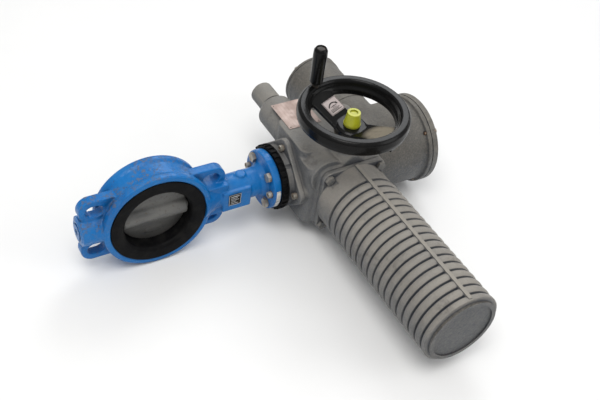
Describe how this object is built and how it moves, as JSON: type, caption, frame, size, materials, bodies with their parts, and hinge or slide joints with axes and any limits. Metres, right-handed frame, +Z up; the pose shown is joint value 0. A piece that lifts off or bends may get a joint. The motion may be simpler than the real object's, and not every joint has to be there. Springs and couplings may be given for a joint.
{
  "type": "motorised butterfly valve",
  "caption": "Wafer butterfly valve with a rubber-lined blue ring body and eared lugs, turned by a grey electric worm-gear actuator with finned motor and black handwheel.",
  "frame": {"origin": "centre of the pipe bore, on the stem axis, midway between the two sealing faces", "axes": "+X along the stem from the valve to the actuator, Y along the pipe with the motor on the -Y side, +Z up along the handwheel axis"},
  "size_m": [0.565, 0.541, 0.285],
  "materials": {
    "valve_body": "blue epoxy paint, dusty, light rust stains",
    "liner": "black moulded rubber",
    "disc": "dull cast steel with dust",
    "stem": "turned steel",
    "disc_pins": "ground steel",
    "upper_bush": "turned bronze",
    "lower_bush": "turned bronze",
    "stem_seals": "black rubber",
    "seal_retainer": "spring steel",
    "bottom_plug": "blue paint",
    "body_nameplate": "dark printed plate with a pale border",
    "flange_tag": "white paper tag",
    "flange_bolts": "zinc plated, dull",
    "flange_screws": "zinc plated, dull",
    "coupling_ring": "black ribbed plastic",
    "base_flange": "grey paint with bright machined edges",
    "base_screws": "zinc plated",
    "gear_housing": "dusty grey paint on a casting",
    "housing_nameplate": "thin printed plate",
    "drive_sleeve": "turned steel",
    "sleeve_bearings": "bronze",
    "worm_wheel": "cut bronze",
    "worm_shaft": "turned steel",
    "worm": "ground steel",
    "worm_bearings": "bearing steel",
    "worm_shaft_gear": "cut steel",
    "idler_gear": "cut steel",
    "idler_axle": "ground steel",
    "end_stop_cap": "dusty grey paint",
    "end_stop_nut": "bronze",
    "motor_flange": "dusty grey paint",
    "motor_housing": "dusty grey paint on a finned casting",
    "motor_end_cap": "dark grey paint",
    "motor_screws": "zinc plated, some rust",
    "stator_core": "laminated sheet stack",
    "stator_windings": "enamelled copper wire",
    "rotor": "laminated rotor",
    "motor_shaft": "turned steel",
    "motor_bearings": "bearing steel",
    "motor_pinion": "cut steel",
    "shaft_bevel_gear": "cut steel",
    "hand_bevel_gear": "cut steel",
    "handwheel_shaft": "turned steel",
    "handwheel_bush": "bronze",
    "handwheel": "glossy black, dusty on the lower edges",
    "hub_cap": "yellow plastic, slightly dirty",
    "direction_label": "pale label with a turning arrow",
    "grip_axle": "zinc plated",
    "grip": "glossy black",
    "control_housing": "dusty grey paint",
    "control_cover": "dusty grey paint",
    "cover_screws": "zinc plated",
    "sight_glass": "clear window",
    "indicator": "turned steel spindle with cams and a pointer disc",
    "limit_switches": "dark switch bodies on a plate",
    "terminal_board": "moulded terminal board",
    "plug_housing": "dusty grey paint",
    "plug_cover": "dusty grey paint",
    "plug_screws": "zinc plated",
    "gland_plugs": "blanking plugs"
  },
  "bodies": {
    "frame": {"valve_body": "valve_body", "liner": "liner", "upper_bush": "upper_bush", "lower_bush": "lower_bush", "stem_seals": "stem_seals", "seal_retainer": "seal_retainer", "bottom_plug": "bottom_plug", "body_nameplate": "body_nameplate", "flange_tag": "flange_tag", "flange_bolts": "flange_bolts", "flange_screws": "flange_screws", "coupling_ring": "coupling_ring", "base_flange": "base_flange", "base_screws": "base_screws", "gear_housing": "gear_housing", "housing_nameplate": "housing_nameplate", "sleeve_bearings": "sleeve_bearings", "worm_bearings": "worm_bearings", "idler_axle": "idler_axle", "end_stop_cap": "end_stop_cap", "motor_flange": "motor_flange", "motor_housing": "motor_housing", "motor_end_cap": "motor_end_cap", "motor_screws": "motor_screws", "stator_core": "stator_core", "stator_windings": "stator_windings", "motor_bearings": "motor_bearings", "handwheel_bush": "handwheel_bush", "control_housing": "control_housing", "control_cover": "control_cover", "cover_screws": "cover_screws", "sight_glass": "sight_glass", "limit_switches": "limit_switches", "terminal_board": "terminal_board", "plug_housing": "plug_housing", "plug_cover": "plug_cover", "plug_screws": "plug_screws", "gland_plugs": "gland_plugs"},
    "closure": {"disc": "disc", "stem": "stem", "disc_pins": "disc_pins", "drive_sleeve": "drive_sleeve", "worm_wheel": "worm_wheel", "indicator": "indicator"},
    "worm_unit": {"worm_shaft": "worm_shaft", "worm": "worm", "worm_shaft_gear": "worm_shaft_gear"},
    "idler": {"idler_gear": "idler_gear"},
    "rotor_unit": {"rotor": "rotor", "motor_shaft": "motor_shaft", "motor_pinion": "motor_pinion", "shaft_bevel_gear": "shaft_bevel_gear"},
    "handwheel_unit": {"handwheel_shaft": "handwheel_shaft", "hand_bevel_gear": "hand_bevel_gear", "handwheel": "handwheel", "hub_cap": "hub_cap", "direction_label": "direction_label", "grip_axle": "grip_axle"},
    "spinner": {"grip": "grip"},
    "stop_nut": {"end_stop_nut": "end_stop_nut"}
  },
  "joints": [
    {"name": "stem_turn", "type": "hinge", "parent": "frame", "child": "closure", "pos_m": [0, 0, 0], "axis": [1, 0, 0], "range_deg": [0, 90]},
    {"name": "worm_spin", "type": "hinge", "parent": "frame", "child": "worm_unit", "pos_m": [0.243, 0, 0.045], "axis": [0, 1, 0], "range_deg": [-40, 3640]},
    {"name": "idler_spin", "type": "hinge", "parent": "frame", "child": "idler", "pos_m": [0.26217, -0.063, 0.02192], "axis": [0, 1, 0], "range_deg": [-3640, 40]},
    {"name": "rotor_spin", "type": "hinge", "parent": "frame", "child": "rotor_unit", "pos_m": [0.28038, -0.2, 0], "axis": [0, 1, 0], "range_deg": [-40, 4040]},
    {"name": "handwheel_spin", "type": "hinge", "parent": "frame", "child": "handwheel_unit", "pos_m": [0.28038, -0.051, 0.1], "axis": [0, 0, 1], "range_deg": [-4040, 40]},
    {"name": "grip_spin", "type": "hinge", "parent": "handwheel_unit", "child": "spinner", "pos_m": [0.25397, 0.01437, 0.17], "axis": [0, 0, 1], "continuous": true},
    {"name": "stop_nut_travel", "type": "slide", "parent": "frame", "child": "stop_nut", "axis": [0, 1, 0], "range_m": [-0.0202, 0.0002]}
  ],
  "couplings": [
    {"joint": "worm_spin", "follows": "stem_turn", "ratio": 40},
    {"joint": "idler_spin", "follows": "stem_turn", "ratio": -40},
    {"joint": "rotor_spin", "follows": "stem_turn", "ratio": 44.444},
    {"joint": "handwheel_spin", "follows": "stem_turn", "ratio": -44.444},
    {"joint": "stop_nut_travel", "follows": "stem_turn", "m_per_rad": -0.012732}
  ]
}
